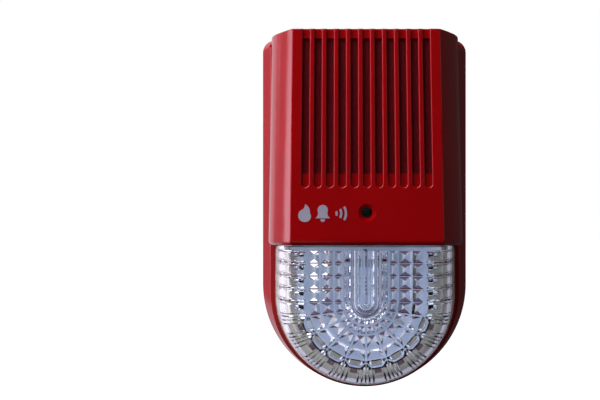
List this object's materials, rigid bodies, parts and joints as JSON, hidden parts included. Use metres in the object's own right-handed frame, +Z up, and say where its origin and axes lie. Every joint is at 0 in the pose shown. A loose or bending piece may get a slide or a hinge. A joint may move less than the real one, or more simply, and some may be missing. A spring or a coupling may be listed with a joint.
{
  "type": "horn strobe",
  "caption": "Red wall-mounted fire alarm horn strobe: ribbed sounder housing over a clear D-shaped prismatic strobe lens, hinged on a wall base.",
  "frame": {"origin": "middle of the two wall-screw slots, on the back face of the wall base", "axes": "+X to the viewer's right, +Y into the wall (the front faces -Y), +Z up"},
  "size_m": [0.09, 0.0536, 0.153],
  "materials": {
    "red_plastic": "glossy moulded red",
    "clear_lens": "clear moulded polycarbonate, prismatic",
    "bright_reflector": "vacuum metallised, mirror-like",
    "tube_glass": "clear quartz glass",
    "steel": "zinc plated",
    "tinned_wire": "tinned copper",
    "silicone_rubber": "translucent bluish grey",
    "green_board": "solder resist over glass fibre",
    "brass": "bright",
    "white_ceramic": "silvered piezo ceramic",
    "dark_sleeve": "shrink sleeve over aluminium can",
    "ferrite": "ferrite drum core",
    "copper": "enamelled copper wire",
    "black_plastic": "moulded black",
    "resistor_body": "lacquered film resistor",
    "dust_felt": "dark red acoustic felt",
    "lead_insulation": "soft insulation",
    "switch_plastic": "moulded blue",
    "trimmer_plastic": "moulded blue",
    "white_plastic": "moulded white",
    "silver_print": "silver-grey pad print"
  },
  "bodies": {
    "base": {"mounting_base": "red_plastic", "lock_insert": "brass", "terminal_block": "black_plastic", "contact_strips": "brass"},
    "front_unit": {"front_housing": "red_plastic", "dust_screen": "dust_felt", "rear_cover": "red_plastic", "housing_screws": "steel", "lens": "clear_lens", "reflector": "bright_reflector", "flash_tube": "tube_glass", "tube_electrodes": "steel", "tube_holders": "silicone_rubber", "tube_leads": "tinned_wire", "trigger_wire": "tinned_wire", "main_board": "green_board", "contact_blades": "brass", "board_screws": "steel", "storage_capacitor": "dark_sleeve", "boost_inductor": "ferrite", "inductor_winding": "copper", "trigger_transformer": "black_plastic", "power_transistor": "black_plastic", "control_chips": "black_plastic", "small_capacitors": "dark_sleeve", "resistors": "resistor_body", "sounder_body": "black_plastic", "piezo_disc": "brass", "piezo_ceramic": "white_ceramic", "sounder_cap": "black_plastic", "sounder_leads": "lead_insulation", "switch_body": "switch_plastic", "trimmer_body": "trimmer_plastic", "front_mark": "silver_print"},
    "lock_washer": {"lock_washer": "steel"},
    "lock_screw": {"lock_screw": "steel"},
    "clamp_1": {"clamp_plate_1": "steel"},
    "terminal_screw_1": {"terminal_screw_1": "steel"},
    "clamp_2": {"clamp_plate_2": "steel"},
    "terminal_screw_2": {"terminal_screw_2": "steel"},
    "clamp_3": {"clamp_plate_3": "steel"},
    "terminal_screw_3": {"terminal_screw_3": "steel"},
    "clamp_4": {"clamp_plate_4": "steel"},
    "terminal_screw_4": {"terminal_screw_4": "steel"},
    "switch_slider_1": {"switch_slider_1": "white_plastic"},
    "switch_slider_2": {"switch_slider_2": "white_plastic"},
    "switch_slider_3": {"switch_slider_3": "white_plastic"},
    "switch_slider_4": {"switch_slider_4": "white_plastic"},
    "volume_rotor": {"trimmer_rotor": "white_plastic"}
  },
  "joints": [
    {"name": "front_unit_swing", "type": "hinge", "parent": "base", "child": "front_unit", "pos_m": [0, -0.0075, 0.065], "axis": [-1, 0, 0], "range_deg": [0, 35]},
    {"name": "lock_screw_travel", "type": "slide", "parent": "front_unit", "child": "lock_washer", "axis": [0, -1, 0], "range_m": [0, 0.004]},
    {"name": "lock_screw_turn", "type": "hinge", "parent": "lock_washer", "child": "lock_screw", "pos_m": [0, 0, -0.0052], "axis": [0, -1, 0], "range_deg": [0, 2881]},
    {"name": "terminal_screw_1_travel", "type": "slide", "parent": "base", "child": "clamp_1", "axis": [0, -1, 0], "range_m": [0, 0.0015]},
    {"name": "terminal_screw_1_turn", "type": "hinge", "parent": "clamp_1", "child": "terminal_screw_1", "pos_m": [-0.012, 0, 0.033], "axis": [0, -1, 0], "range_deg": [0, 1081]},
    {"name": "terminal_screw_2_travel", "type": "slide", "parent": "base", "child": "clamp_2", "axis": [0, -1, 0], "range_m": [0, 0.0015]},
    {"name": "terminal_screw_2_turn", "type": "hinge", "parent": "clamp_2", "child": "terminal_screw_2", "pos_m": [-0.004, 0, 0.033], "axis": [0, -1, 0], "range_deg": [0, 1081]},
    {"name": "terminal_screw_3_travel", "type": "slide", "parent": "base", "child": "clamp_3", "axis": [0, -1, 0], "range_m": [0, 0.0015]},
    {"name": "terminal_screw_3_turn", "type": "hinge", "parent": "clamp_3", "child": "terminal_screw_3", "pos_m": [0.004, 0, 0.033], "axis": [0, -1, 0], "range_deg": [0, 1081]},
    {"name": "terminal_screw_4_travel", "type": "slide", "parent": "base", "child": "clamp_4", "axis": [0, -1, 0], "range_m": [0, 0.0015]},
    {"name": "terminal_screw_4_turn", "type": "hinge", "parent": "clamp_4", "child": "terminal_screw_4", "pos_m": [0.012, 0, 0.033], "axis": [0, -1, 0], "range_deg": [0, 1081]},
    {"name": "switch_1", "type": "slide", "parent": "front_unit", "child": "switch_slider_1", "axis": [1, 0, 0], "range_m": [0, 0.0015]},
    {"name": "switch_2", "type": "slide", "parent": "front_unit", "child": "switch_slider_2", "axis": [1, 0, 0], "range_m": [0, 0.0015]},
    {"name": "switch_3", "type": "slide", "parent": "front_unit", "child": "switch_slider_3", "axis": [1, 0, 0], "range_m": [0, 0.0015]},
    {"name": "switch_4", "type": "slide", "parent": "front_unit", "child": "switch_slider_4", "axis": [1, 0, 0], "range_m": [0, 0.0015]},
    {"name": "volume_turn", "type": "hinge", "parent": "front_unit", "child": "volume_rotor", "pos_m": [-0.014, -0.0115, 0.0188], "axis": [0, -1, 0], "range_deg": [-135, 135]}
  ],
  "couplings": [
    {"joint": "lock_screw_turn", "follows": "lock_screw_travel", "rad_per_m": 12566},
    {"joint": "terminal_screw_1_turn", "follows": "terminal_screw_1_travel", "rad_per_m": 12566},
    {"joint": "terminal_screw_2_turn", "follows": "terminal_screw_2_travel", "rad_per_m": 12566},
    {"joint": "terminal_screw_3_turn", "follows": "terminal_screw_3_travel", "rad_per_m": 12566},
    {"joint": "terminal_screw_4_turn", "follows": "terminal_screw_4_travel", "rad_per_m": 12566}
  ]
}
